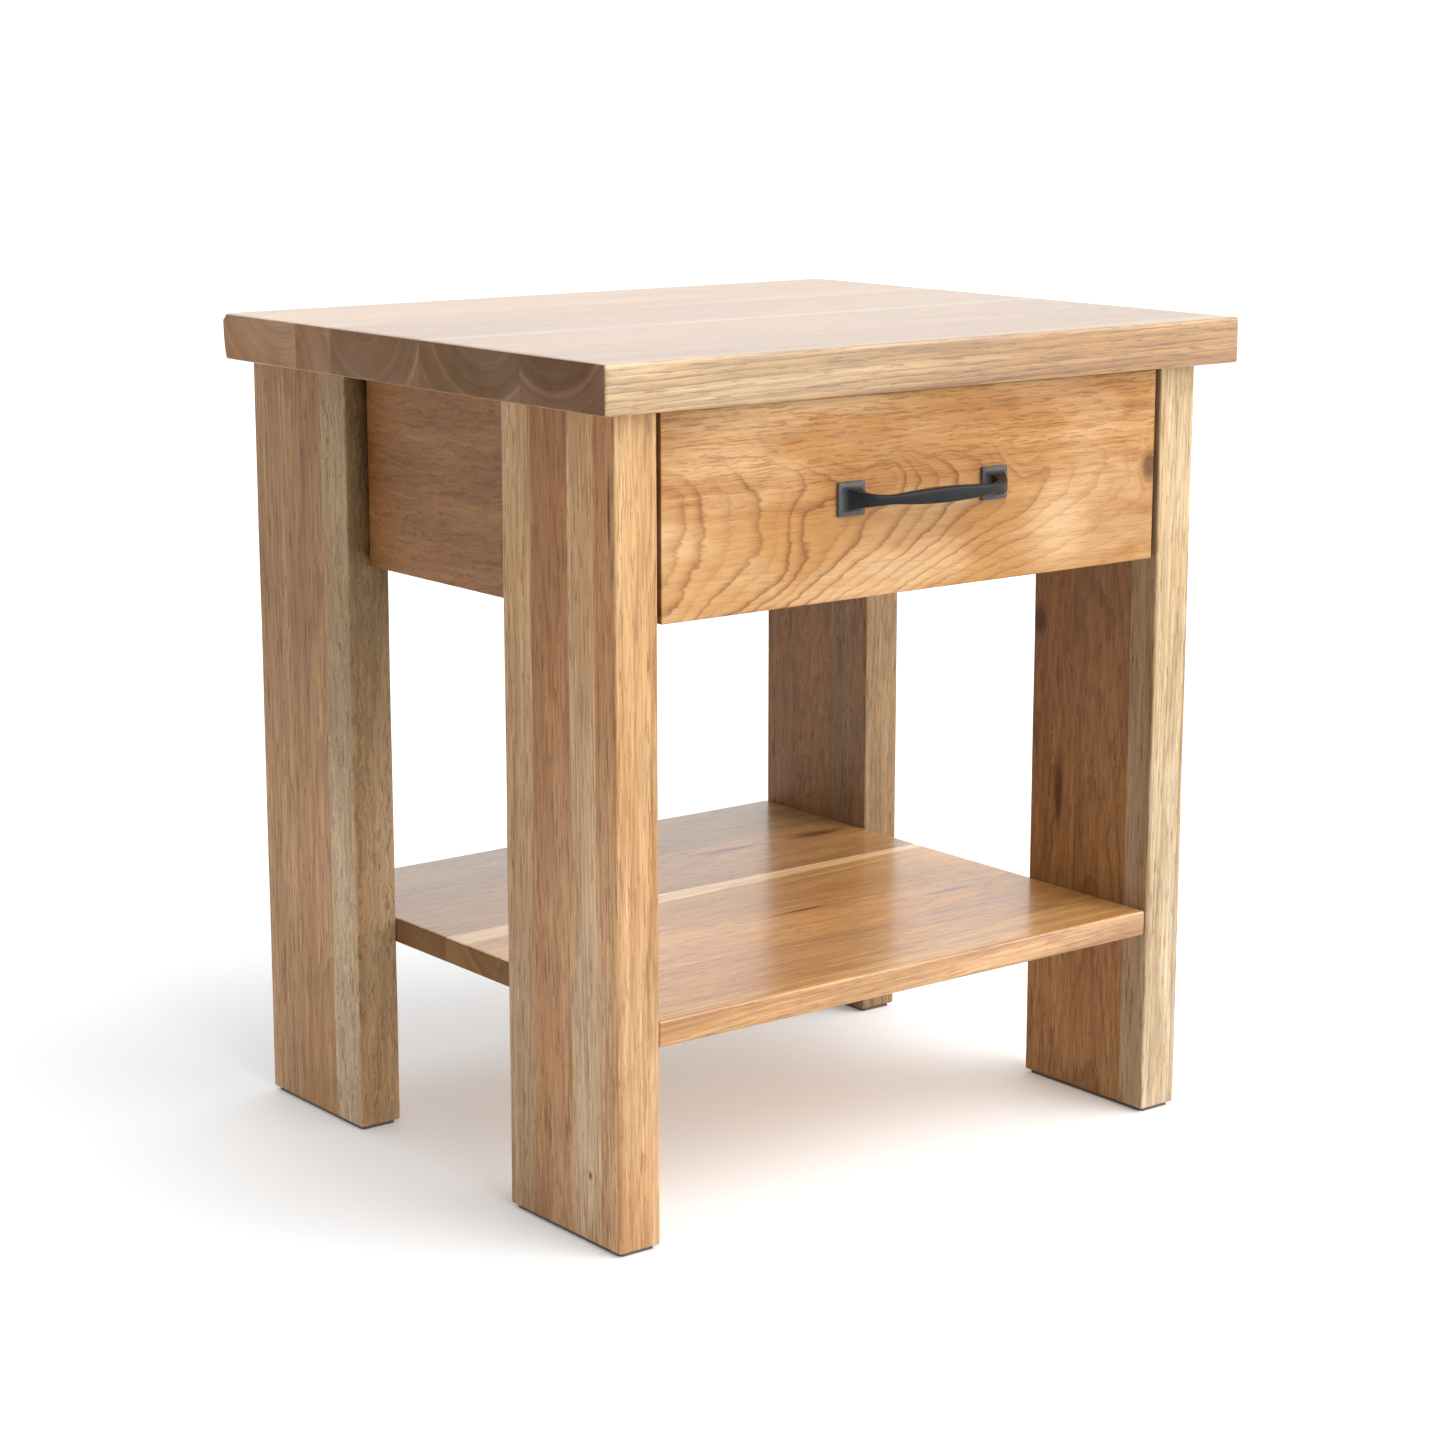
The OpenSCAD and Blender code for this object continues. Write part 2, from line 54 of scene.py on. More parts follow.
class Tree:
    """A material's node tree, built with short calls. Each call gives back an output socket."""

    def __init__(self, name):
        self.material = bpy.data.materials.new(name)
        self.material.use_nodes = True
        self.nodes = self.material.node_tree.nodes
        self.links = self.material.node_tree.links
        self.nodes.clear()

    def put(self, value, socket):
        """Links a socket, or sets a value. None leaves the socket as it is."""
        if isinstance(value, bpy.types.NodeSocket):
            self.links.new(value, socket)
        elif value is not None:
            socket.default_value = value

    def attribute(self, name, output="Vector"):
        node = self.nodes.new("ShaderNodeAttribute")
        node.attribute_name = name
        return node.outputs[output]

    def object_place(self):
        return self.nodes.new("ShaderNodeTexCoord").outputs["Object"]

    def object_normal(self):
        return self.nodes.new("ShaderNodeTexCoord").outputs["Normal"]

    def vector_math(self, operation, a, b):
        node = self.nodes.new("ShaderNodeVectorMath")
        node.operation = operation
        self.put(a, node.inputs[0])
        self.put(b, node.inputs[1])
        return node.outputs["Vector"]

    def length(self, vector):
        node = self.nodes.new("ShaderNodeVectorMath")
        node.operation = "LENGTH"
        self.put(vector, node.inputs[0])
        return node.outputs["Value"]

    def parts(self, vector):
        node = self.nodes.new("ShaderNodeSeparateXYZ")
        self.put(vector, node.inputs[0])
        return node.outputs[0], node.outputs[1], node.outputs[2]

    def vector(self, x, y, z):
        node = self.nodes.new("ShaderNodeCombineXYZ")
        for value, socket in zip((x, y, z), node.inputs):
            self.put(value, socket)
        return node.outputs[0]

    def math(self, operation, a, b=None, c=None):
        node = self.nodes.new("ShaderNodeMath")
        node.operation = operation
        for value, socket in zip((a, b, c), node.inputs):
            self.put(value, socket)
        return node.outputs[0]

    def noise(self, place, scale, detail=2.0, rough=0.5, output="Fac"):
        """Noise with its own scale along each axis of place."""
        node = self.nodes.new("ShaderNodeTexNoise")
        self.put(self.vector_math("MULTIPLY", place, scale), node.inputs["Vector"])
        node.inputs["Scale"].default_value = 1.0
        node.inputs["Detail"].default_value = detail
        node.inputs["Roughness"].default_value = rough
        return node.outputs[output]

    def between(self, value, low, high, to_low=0.0, to_high=1.0, smooth=True):
        """to_low where value is at low, to_high where it is at high, and in between elsewhere."""
        node = self.nodes.new("ShaderNodeMapRange")
        node.interpolation_type = "SMOOTHSTEP" if smooth else "LINEAR"
        for v, socket in zip((value, low, high, to_low, to_high), node.inputs):
            self.put(v, socket)
        return node.outputs[0]

    def ramp(self, value, stops):
        """A level for each value from 0 to 1. stops are (value, level)."""
        node = self.nodes.new("ShaderNodeValToRGB")
        self.put(value, node.inputs[0])
        elements = node.color_ramp.elements
        while len(elements) < len(stops):
            elements.new(0.5)
        for element, (place, level) in zip(elements, stops):
            element.position = place
            element.color = (level, level, level, 1)
        return node.outputs["Color"]

    def mix(self, amount, a, b, blend="MIX"):
        node = self.nodes.new("ShaderNodeMix")
        node.data_type = "RGBA"
        node.blend_type = blend
        self.put(amount, node.inputs[0])
        self.put(rgba(a), node.inputs[6])
        self.put(rgba(b), node.inputs[7])
        return node.outputs[2]

    def shade(self, amount, color, by):
        """The colour multiplied by another colour or by a level, as far as amount says."""
        return self.mix(amount, color, self.mix(1.0, color, by, "MULTIPLY"))

    def tint(self, color, amount, warmth):
        """Lighter or darker by amount; where it is darker the colour leans towards warmth."""
        shaded = self.mix(1.0, color, amount, "MULTIPLY")
        warm = self.mix(1.0, shaded, warmth, "MULTIPLY")
        return self.mix(self.between(amount, 0.92, 1.08), warm, shaded)

    def bump(self, height, distance, strength=1.0):
        node = self.nodes.new("ShaderNodeBump")
        node.inputs["Strength"].default_value = strength
        node.inputs["Distance"].default_value = distance
        self.put(height, node.inputs["Height"])
        return node.outputs["Normal"]

    def finish(self, color, roughness, normal=None, **settings):
        """The surface itself. Settings are for the shader's own sockets, by name with _ for spaces."""
        shader = self.nodes.new("ShaderNodeBsdfPrincipled")
        self.put(rgba(color), shader.inputs["Base Color"])
        self.put(roughness, shader.inputs["Roughness"])
        if normal is not None:
            self.put(normal, shader.inputs["Normal"])
        for name, value in settings.items():
            self.put(value, shader.inputs[name.replace("_", " ")])
        output = self.nodes.new("ShaderNodeOutputMaterial")
        self.links.new(shader.outputs[0], output.inputs[0])
        return self.material


def rgba(color):
    if isinstance(color, (tuple, list)) and len(color) == 3:
        return (*color, 1.0)
    return color


# ---------------------------------------------------------------- wood

# What the wood's colour is multiplied by, in its late wood, its pores and so on
LATE_WOOD = (0.52, 0.40, 0.28)
OPEN_PORE = (0.60, 0.49, 0.39)
LONG_DASH = (0.46, 0.34, 0.24)
KNOT_CORE = (0.36, 0.25, 0.18)
END_GRAIN = (0.60, 0.55, 0.52)
WARM_CLOUD = (1.0, 0.93, 0.84)
WARM_STREAK = (1.0, 0.90, 0.78)
# How dark the late wood is from one growth ring to the next
RING_STOPS = [(0.0, 0.0), (0.40, 0.05), (0.78, 0.42), (0.92, 1.0), (0.97, 0.9), (1.0, 0.0)]


def bend_fibres(t, place, wave, wave_scale, curl):
    """The place as the fibres have it: in wide waves, in small ripples, and in curls in curly wood."""

    def waver(scale, detail, reach):
        moved = t.vector_math("SUBTRACT", t.noise(place, scale, detail, 0.5, "Color"), (0.5, 0.5, 0.5))
        return t.vector_math("MULTIPLY", moved, (reach, reach, 0.0))

    wide = waver((wave_scale, wave_scale, wave_scale * 0.25), 3.0, wave * 2 * MM)
    bent = t.vector_math("ADD", place, wide)
    bent = t.vector_math("ADD", bent, waver((70, 70, 12), 2.0, 2.0 * MM))
    curly = t.vector_math("SCALE", waver((55, 55, 60), 2.0, 9.0 * MM), None)
    t.put(curl, curly.node.inputs["Scale"])
    return t.vector_math("ADD", bent, curly)


def bend_round_knots(t, bent, knots):
    """The fibres pushed aside by the knots, and how much of a knot's dark core is at a place."""
    knot_shade = None
    for centre, size, squash in knots:
        away = t.vector_math("MULTIPLY", t.vector_math("SUBTRACT", t.object_place(), centre), squash)
        near = t.between(t.length(away), size * 3.2, size * 0.6)
        bent = t.vector_math("ADD", bent, t.vector(t.math("MULTIPLY", near, size * 1.6), 0.0, 0.0))
        core = t.math("POWER", near, 3.0)
        knot_shade = core if knot_shade is None else t.math("MAXIMUM", knot_shade, core)
    return bent, knot_shade


def growth_rings(t, place, bent, end, heart_radius, ring_pitch):
    """Rings round the pith. What it gives back is what a figure does: see wood."""
    u, v, _ = t.parts(bent)
    radius = t.math("SQRT", t.math("ADD", t.math("MULTIPLY", u, u), t.math("MULTIPLY", v, v)))
    from_pith = t.vector(radius, 0.0, 0.0)
    uneven = t.noise(from_pith, (95, 1, 1), 2.0)
    turn = t.math("ADD", t.math("DIVIDE", radius, ring_pitch), t.math("MULTIPLY", uneven, 2.4))
    phase = t.math("FRACT", turn)

    side_grain = t.math("SUBTRACT", 1.0, end)
    beyond = t.math("SUBTRACT", radius, heart_radius)
    outer = t.between(beyond, -1.6 * MM, 1.6 * MM)
    rim = t.between(t.math("ABSOLUTE", beyond), 3.2 * MM, 0.6 * MM, 0.0, 0.75)
    pale_end = t.math("MAXIMUM", rim, t.math("MULTIPLY", outer, 0.35))
    sap_share = t.math("ADD", t.math("MULTIPLY", outer, side_grain), t.math("MULTIPLY", pale_end, end))

    strength = t.between(t.noise(place, (24, 24, 3.0), 2.0), 0.32, 0.62, 0.35, 1.0)
    strength = t.math("MULTIPLY", strength, t.between(end, 0.0, 1.0, 1.0, 0.30))
    late = t.math("MULTIPLY", t.ramp(phase, RING_STOPS), strength)
    early = t.between(phase, 0.0, 0.45, 1.0, 0.55)
    broad = t.between(t.noise(from_pith, (120, 1, 1), 2.0, 0.6), 0.3, 0.7, -0.10, 0.10)
    arcs = t.math("ADD", 1.0, t.math("MULTIPLY", broad, end))
    return late, early, sap_share, 1.0, arcs


def wood(name, place=None, heart=None, sap=None, heart_radius=None, curl=None, end=None, figure=None,
         knots=(), ring_pitch=3.6 * MM, ring_depth=0.45, wave=4.0, wave_scale=8.0, pores=0.9, streaks=0.5,
         blotch=14.0, gloss=0.46, shine=0.28, lacquer=0.0, lacquer_gloss=0.28, calm=1.0, short=1.0,
         fine=1.0):
    """Solid wood. Growth rings are centred on the place's third axis; streaks and pores run along it.

    Left out, place, heart, sap, heart_radius, curl and end come from the attributes of a board's corners.
    heart is the wood's colour within heart_radius of the pith and sap is its colour further out.
    curl bends the fibres, end is 1 on end grain, and wave is how far the rings wander, in millimetres.
    knots are (place on the piece, radius in metres, how much each axis is squashed).
    ring_depth, pores and streaks are how strongly those show. blotch is how small the cloudy patches are.
    gloss is the roughness, shine is how much the wood reflects, and lacquer is how much its clear coat does.
    calm is how strongly the grain shows where the piece faces up, short is how short its streaks are, and
    fine is how strong its finest lines are.
    figure may give the growth rings some other way: it returns how much dark late wood a place has, how
    open its pores are, how much of sap's colour it has, how clear its fine grain is, and what the end
    grain's broad arcs multiply its colour by, or None.
    """
    t = Tree(name)
    place = t.attribute("grain") if place is None else place(t)
    heart = t.attribute("heart_tone", "Color") if heart is None else rgba(heart)
    sap = t.attribute("sap_tone", "Color") if sap is None else rgba(sap)
    heart_radius = t.attribute("heart_radius", "Fac") if heart_radius is None else heart_radius
    curl = t.attribute("curl", "Fac") if curl is None else curl
    end = t.attribute("end_grain", "Fac") if end is None else end(t)
    side_grain = t.math("SUBTRACT", 1.0, end)

    bent, knot_shade = bend_round_knots(t, bend_fibres(t, place, wave, wave_scale, curl), knots)
    if figure is None:
        late, early, sap_share, fineness, arcs = growth_rings(t, place, bent, end, heart_radius, ring_pitch)
    else:
        late, early, sap_share, fineness, arcs = figure(t, bent)

    facing_up = t.between(t.parts(t.object_normal())[Z], 0.7, 0.95)
    calmer = t.between(facing_up, 0.0, 1.0, 1.0, calm)
    clear = t.math("MULTIPLY", calmer, t.between(end, 0.0, 1.0, 1.0, 0.12))
    clear = t.math("MULTIPLY", clear, fineness)
    late = t.math("MULTIPLY", late, calmer)
    fibre = t.noise(bent, (600, 600, 9 * short), 3.0, 0.62)
    line = t.noise(bent, (250, 250, 4 * short), 3.0, 0.6)
    streak = t.noise(bent, (105, 105, 1.8 * short), 3.0, 0.6)
    cloud = t.noise(place, (blotch, blotch, blotch * 0.17), 3.0, 0.5)
    crowd = t.between(t.noise(place, (60, 60, 14), 2.0), 0.3, 0.7, 0.03, -0.03)
    pore = t.between(t.math("SUBTRACT", t.noise(bent, (680, 680, 48), 2.0, 0.6), crowd), 0.55, 0.61)
    pore = t.math("MULTIPLY", t.math("MULTIPLY", pore, early), clear)
    dash = t.between(t.noise(bent, (330, 330, 22), 2.0, 0.55), 0.60, 0.66)
    dash = t.math("MULTIPLY", dash, clear)

    tone = t.mix(sap_share, heart, sap)
    tone = t.tint(tone, t.between(cloud, 0.30, 0.70, 0.88, 1.12), WARM_CLOUD)
    tone = t.shade(t.math("MULTIPLY", late, ring_depth), tone, LATE_WOOD)
    level = t.between(streak, 0.28, 0.72, 1.0 - 0.42 * streaks, 1.0 + 0.30 * streaks)
    tone = t.mix(clear, tone, t.tint(tone, level, WARM_STREAK))
    if arcs is not None:
        tone = t.mix(1.0, tone, arcs, "MULTIPLY")
    tone = t.shade(clear, tone, t.between(fibre, 0.25, 0.75, 1.0 - 0.16 * fine, 1.0 + 0.17 * fine))
    tone = t.shade(clear, tone, t.between(line, 0.30, 0.70, 1.0 - 0.14 * fine, 1.0 + 0.12 * fine))
    tone = t.shade(t.math("MULTIPLY", dash, 0.18 * pores), tone, LONG_DASH)
    tone = t.shade(t.math("MULTIPLY", pore, pores), tone, OPEN_PORE)
    if knot_shade is not None:
        tone = t.shade(knot_shade, tone, KNOT_CORE)
    tone = t.shade(end, tone, END_GRAIN)

    rough = t.between(streak, 0.3, 0.7, gloss - 0.04, gloss + 0.05)
    rough = t.math("ADD", rough, t.math("MULTIPLY", pore, 0.15))
    rough = t.math("ADD", rough, t.math("MULTIPLY", end, 0.16))
    height = t.math("SUBTRACT", t.math("MULTIPLY", fibre, 0.4), pore)
    height = t.math("SUBTRACT", height, t.math("MULTIPLY", late, 0.3))
    return t.finish(tone, rough, t.bump(height, 0.25 * MM, 0.55), IOR=1.5,
                    Specular_IOR_Level=t.math("MULTIPLY", side_grain, shine),
                    Coat_Weight=t.math("MULTIPLY", side_grain, lacquer), Coat_Roughness=lacquer_gloss)


def along(axis, offset, lean=(0.0, 0.0)):
    """Grain places for a piece whose grain runs along axis. offset is added: two across, then one along."""
    order = {X: (Y, Z, X), Y: (X, Z, Y), Z: (X, Y, Z)}[axis]
    moved = [0.0, 0.0, 0.0]
    for part, amount in zip(order, offset):
        moved[part] = amount

    def place(t):
        parts = t.parts(t.vector_math("ADD", t.object_place(), moved))
        run = parts[order[2]]
        u = t.math("ADD", parts[order[0]], t.math("MULTIPLY", run, lean[0]))
        v = t.math("ADD", parts[order[1]], t.math("MULTIPLY", run, lean[1]))
        return t.vector(u, v, run)

    return place


def faces_along(axis):
    """1 where the surface faces along the axis, which is where a board shows its end grain."""

    def end(t):
        facing = t.parts(t.object_normal())[axis]
        return t.between(t.math("ABSOLUTE", facing), 0.6, 0.9)

    return end


# ---------------------------------------------------------------- boards

# Faces across a rounded edge, metres between a board's cuts along its grain, and how far hands wear it in
ROUND_STEPS = 4
CUT_SPACING = 0.03
HAND_WEAR = 0.35 * MM
# A heart radius no board reaches: the wood is all heart
ALL_HEART = 9.0
# Where along a stave its colour starts to change, and how much of the stave the change takes
CHANGE_START, CHANGE_SPAN = 0.25, 0.5


class Stave:
    """One strip of a glued-up board, up to `end` along the board's stacking axis, in metres.

    heart and sap are its colours. edge is its colour on a face that looks along the stacking axis, and butt
    is its colour on end grain. first and edge_first are its colour and edge at the start of the grain's
    axis, from where it changes to the others. pith is the middle of its growth rings: along the stacking
    axis and through the board, both from the stave's own middle. lean is how far the pith drifts for each
    metre along the grain.
    """

    def __init__(self, end, heart, sap=None, heart_radius=ALL_HEART, pith=(0.02, -0.09), lean=(0.0, 0.0),
                 curl=0.0, first=None, edge=None, edge_first=None, butt=None):
        self.end = end
        self.heart = Vector(heart)
        self.sap = Vector(sap or heart)
        self.heart_radius = heart_radius
        self.pith = pith
        self.lean = lean
        self.curl = curl
        self.first = Vector(first or heart)
        self.edge = Vector(edge or heart)
        self.edge_first = Vector(edge_first or edge or first or heart)
        self.butt = Vector(butt or heart)

    def tones(self, along, turned, is_end):
        """Heart and sap colours a share of the way along the grain. turned is 1 on the board's edge."""
        if is_end:
            return self.butt, self.butt * 1.5
        s = min(1.0, max(0.0, (along - CHANGE_START) / CHANGE_SPAN))
        s = s * s * (3 - 2 * s)
        side = self.first.lerp(self.heart, s)
        edge = self.edge_first.lerp(self.edge, s)
        pale = self.sap if self.sap != self.heart else side
        return side.lerp(edge, turned), pale.lerp(edge, turned)


def rounded_block(low, high, radius, cuts):
    """A block with rounded edges. cuts is a list of (axis, place) where its mesh is divided."""
    bm = bmesh.new()
    bmesh.ops.create_cube(bm, size=1.0)
    middle, size = (low + high) / 2, high - low
    for vert in bm.verts:
        vert.co = middle + Vector(vert.co[i] * size[i] for i in range(3))
    bmesh.ops.bevel(bm, geom=bm.edges[:], offset=radius, segments=ROUND_STEPS, profile=0.5, affect="EDGES",
                    clamp_overlap=True)
    for axis, place in cuts:
        point, way = Vector((0, 0, 0)), Vector((0, 0, 0))
        point[axis], way[axis] = place, 1.0
        whole = bm.verts[:] + bm.edges[:] + bm.faces[:]
        bmesh.ops.bisect_plane(bm, geom=whole, plane_co=point, plane_no=way, dist=1e-7)
    return bm


def ease_by_hand(bm, low, high, radius, amount, seed):
    """Wears the rounded edges in a little, more in one place than in another, as sanding by hand does."""
    middle = (low + high) / 2
    edge_zone = radius * 1.05
    for vert in bm.verts:
        near = [i for i in range(3) if min(vert.co[i] - low[i], high[i] - vert.co[i]) < edge_zone]
        if len(near) >= 2:
            plate_grey_and_painted_sheen = noise.noise(vert.co * 14.0 + Vector((seed, 0, 0))) * 0.5 + 0.5
            for i in near:
                vert.co[i] += math.copysign(plate_grey_and_painted_sheen * amount, middle[i] - vert.co[i])


def carve(piece, cutters):
    """Cuts the shapes of these CAD nodes out of the piece, so that joints and screws have real pockets."""
    for cutter in cutters:
        cut = piece.modifiers.new("pocket_" + cutter, "BOOLEAN")
        cut.operation = "DIFFERENCE"
        cut.solver = "EXACT"
        cut.object = nodes[cutter]
    bpy.context.view_layer.update()
    done = bpy.data.meshes.new_from_object(piece.evaluated_get(bpy.context.evaluated_depsgraph_get()))
    piece.modifiers.clear()
    piece.data = done


def paint_staves(mesh, low, high, grain, stack, staves, seed):
    """Gives every corner its place in its own stave's tree, and its stave's colours."""
    dice = random.Random(seed)
    through = ({X, Y, Z} - {grain, stack}).pop()
    starts = [low[stack]] + [s.end for s in staves[:-1]]
    middles = [(a + s.end) / 2 for a, s in zip(starts, staves)]
    shifts = [dice.uniform(2.0, 40.0) for _ in staves]
    kinds = {"grain": "FLOAT_VECTOR", "heart_tone": "FLOAT_COLOR", "sap_tone": "FLOAT_COLOR",
             "heart_radius": "FLOAT", "curl": "FLOAT", "end_grain": "FLOAT"}
    for name, kind in kinds.items():
        mesh.attributes.new(name, kind, "CORNER")
    place, heart, sap, heart_radius, curl, end_grain = (mesh.attributes[name] for name in kinds)
    centre = (low + high) / 2
    for face in mesh.polygons:
        number = next((i for i, s in enumerate(staves) if face.center[stack] < s.end), len(staves) - 1)
        stave = staves[number]
        is_end = abs(face.normal[grain]) > 0.75
        turned = face.normal[stack] ** 2
        for corner in face.loop_indices:
            co = mesh.vertices[mesh.loops[corner].vertex_index].co
            run = co[grain] - centre[grain]
            place.data[corner].vector = (
                co[stack] - middles[number] - stave.pith[0] - stave.lean[0] * run,
                co[through] - centre[through] - stave.pith[1] - stave.lean[1] * run,
                run + shifts[number],
            )
            share = (co[grain] - low[grain]) / (high[grain] - low[grain])
            main, outer = stave.tones(share, turned, is_end)
            heart.data[corner].color = (*main, 1)
            sap.data[corner].color = (*outer, 1)
            heart_radius.data[corner].value = stave.heart_radius
            curl.data[corner].value = stave.curl
            end_grain.data[corner].value = 1.0 if is_end else 0.0


def board(name, node, grain, stack, staves, radius, material, body, seed, cutters=(), shape=None,
          extra_cuts=()):
    """A glued-up board that stands for a CAD node: rounded, a little hand-worn, with its real pockets."""
    low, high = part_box(node)
    staves[-1].end = high[stack]
    cuts = [(stack, s.end) for s in staves[:-1]]
    count = max(2, int((high[grain] - low[grain]) / CUT_SPACING))
    cuts += [(grain, low[grain] + (high[grain] - low[grain]) * i / count) for i in range(1, count)]
    cuts += list(extra_cuts)
    bm = rounded_block(low, high, radius, cuts)
    ease_by_hand(bm, low, high, radius, HAND_WEAR, seed)
    if shape:
        shape(bm)
    mesh = bpy.data.meshes.new(name)
    bm.to_mesh(mesh)
    bm.free()
    piece = bpy.data.objects.new(name, mesh)
    bpy.context.scene.collection.objects.link(piece)
    if cutters:
        carve(piece, cutters)
    paint_staves(piece.data, low, high, grain, stack, staves, seed)
    piece.data.materials.clear()
    piece.data.materials.append(material)
    smooth(piece)
    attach(piece, body)
    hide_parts(node)


def smooth(piece):
    """Shades the rounded edges smoothly and keeps the wide faces flat."""
    piece.data.shade_smooth()
    weighted = piece.modifiers.new("flat_faces_stay_flat", "WEIGHTED_NORMAL")
    weighted.keep_sharp = True
    weighted.weight = 100


# Linear colours of the woods
PALE = (0.480, 0.340, 0.200)
SAND = (0.460, 0.280, 0.140)
HONEY = (0.420, 0.240, 0.098)
TAN = (0.400, 0.240, 0.125)
REDDISH = (0.266, 0.128, 0.046)
MAPLE = (0.560, 0.420, 0.270)


# ---------------------------------------------------------------- the table's boards

def shape_top(bm, low, high, corner):
    """The top's back edge curves in towards its lower corner, and its upper back corners are softened."""
    undercut, curve, zone = 4.8 * MM, 2.9, 6 * MM
    for vert in bm.verts:
        from_back = high.y - vert.co.y
        if from_back < zone:
            drop = (high.z - vert.co.z) / (high.z - low.z)
            vert.co.y -= undercut * drop ** curve * (1 - from_back / zone)
        sides = Vector((math.copysign(1, vert.co.x), math.copysign(1, vert.co.y), 1))
        depths = [(high.x if sides.x > 0 else -low.x) - abs(vert.co.x),
                  (high.y if sides.y > 0 else -low.y) - abs(vert.co.y), high.z - vert.co.z]
        reach = Vector([max(0.0, corner - depth) for depth in depths])
        if sides.y > 0 and min(reach) > 0 and reach.length > corner:
            share = min(1.0, min(reach) / corner * 2)
            pulled = reach - reach.normalized() * corner
            vert.co -= share * Vector(pulled[i] * sides[i] for i in range(3))


def make_tabletop():
    low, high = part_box("tabletop")
    corner = 5.0 * MM
    staves = [
        Stave(-142 * MM, TAN, PALE, 0.060, (0.010, 0.058), (0.00, 0.02), edge=(0.335, 0.190, 0.060),
              edge_first=(0.400, 0.290, 0.156), butt=(0.258, 0.165, 0.112)),
        Stave(-24 * MM, TAN, PALE, 0.074, (-0.018, 0.050), (0.00, -0.02), butt=(0.290, 0.198, 0.132)),
        Stave(89 * MM, TAN, PALE, 0.071, (0.012, 0.040), (0.00, 0.03), butt=(0.370, 0.256, 0.180)),
        Stave(136 * MM, SAND, None, ALL_HEART, (0.070, -0.030), (0.02, 0.00), butt=(0.460, 0.295, 0.195)),
        Stave(None, SAND, None, ALL_HEART, (-0.030, 0.055), (0.00, -0.02), butt=(0.555, 0.372, 0.245)),
    ]
    levels = [(Z, low.z + (high.z - low.z) * i / 8) for i in range(1, 8)]
    for inset in (0.5 * corner, corner):
        levels += [(X, low.x + inset), (X, high.x - inset), (Y, high.y - inset), (Z, high.z - inset)]
    material = wood("tabletop_oak", ring_depth=0.85, streaks=0.32, pores=0.95, gloss=0.42, shine=0.5,
                    lacquer=0.85, calm=0.5, short=2.0)
    board("tabletop_board", "tabletop", X, Y, staves, 1.9 * MM, material, "table", 3,
          ("tabletop_clip_screws", "top_rail_screws"), lambda bm: shape_top(bm, low, high, corner), levels)


make_tabletop()


# The strips of each leg, from its front: where each ends as a share of the leg's width, its colour up high,
# its colour near the floor, the middle of its growth rings, how that leans, and how curly it is. The change
# from up high to near the floor is partly the wood's own and partly painted light: most strips are lighter
# near the floor, standing for the extra light that reaches the legs' shaded sides low down
LEGS = {
    "front_left_leg": [
        (0.18, (0.385, 0.192, 0.076), (0.560, 0.355, 0.198), (0.060, 0.020), (0.00, 0.00), 0.0),
        (0.41, (0.458, 0.286, 0.146), (0.575, 0.420, 0.282), (0.090, 0.030), (0.01, 0.01), 0.0),
        (0.735, (0.318, 0.148, 0.050), (0.470, 0.270, 0.138), (0.020, 0.110), (0.01, 0.03), 0.0),
        (1.0, (0.528, 0.362, 0.200), (0.450, 0.305, 0.178), (-0.050, 0.090), (0.00, 0.02), 0.1),
    ],
    "front_right_leg": [
        (0.19, (0.334, 0.250, 0.155), (0.340, 0.250, 0.155), (0.020, 0.100), (0.00, 0.01), 0.1),
        (0.62, (0.232, 0.118, 0.043), (0.360, 0.206, 0.091), (0.010, 0.060), (0.00, 0.05), 0.2),
        (1.0, (0.252, 0.122, 0.042), (0.362, 0.205, 0.086), (-0.025, 0.050), (0.02, 0.06), 0.4),
    ],
    "rear_left_leg": [
        (0.265, (0.333, 0.236, 0.130), (0.550, 0.440, 0.310), (0.030, 0.050), (0.00, 0.02), 1.0),
        (0.64, (0.310, 0.163, 0.066), (0.485, 0.295, 0.150), (-0.020, 0.120), (0.00, 0.02), 0.0),
        (1.0, (0.330, 0.188, 0.081), (0.485, 0.305, 0.160), (-0.060, 0.050), (0.01, 0.00), 0.1),
    ],
    "rear_right_leg": [
        (0.35, (0.242, 0.150, 0.072), (0.242, 0.150, 0.072), (0.020, 0.090), (0.00, 0.02), 0.5),
        (0.70, (0.267, 0.130, 0.047), (0.290, 0.150, 0.056), (0.010, 0.060), (0.00, 0.03), 1.0),
        (1.0, (0.262, 0.132, 0.048), (0.290, 0.152, 0.058), (-0.030, 0.080), (0.00, 0.02), 0.6),
    ],
}
# The colour of each leg's front face, up high and near the floor. On the rear left leg the lighter colour
# near the floor is painted light, for the shaded front face getting more light low down
LEG_FRONTS = {
    "front_left_leg": ((0.460, 0.298, 0.146), (0.398, 0.245, 0.122)),
    "front_right_leg": ((0.485, 0.388, 0.250), (0.395, 0.315, 0.215)),
    "rear_left_leg": ((0.206, 0.148, 0.078), (0.315, 0.224, 0.128)),
    "rear_right_leg": ((0.250, 0.168, 0.085), (0.262, 0.172, 0.088)),
}


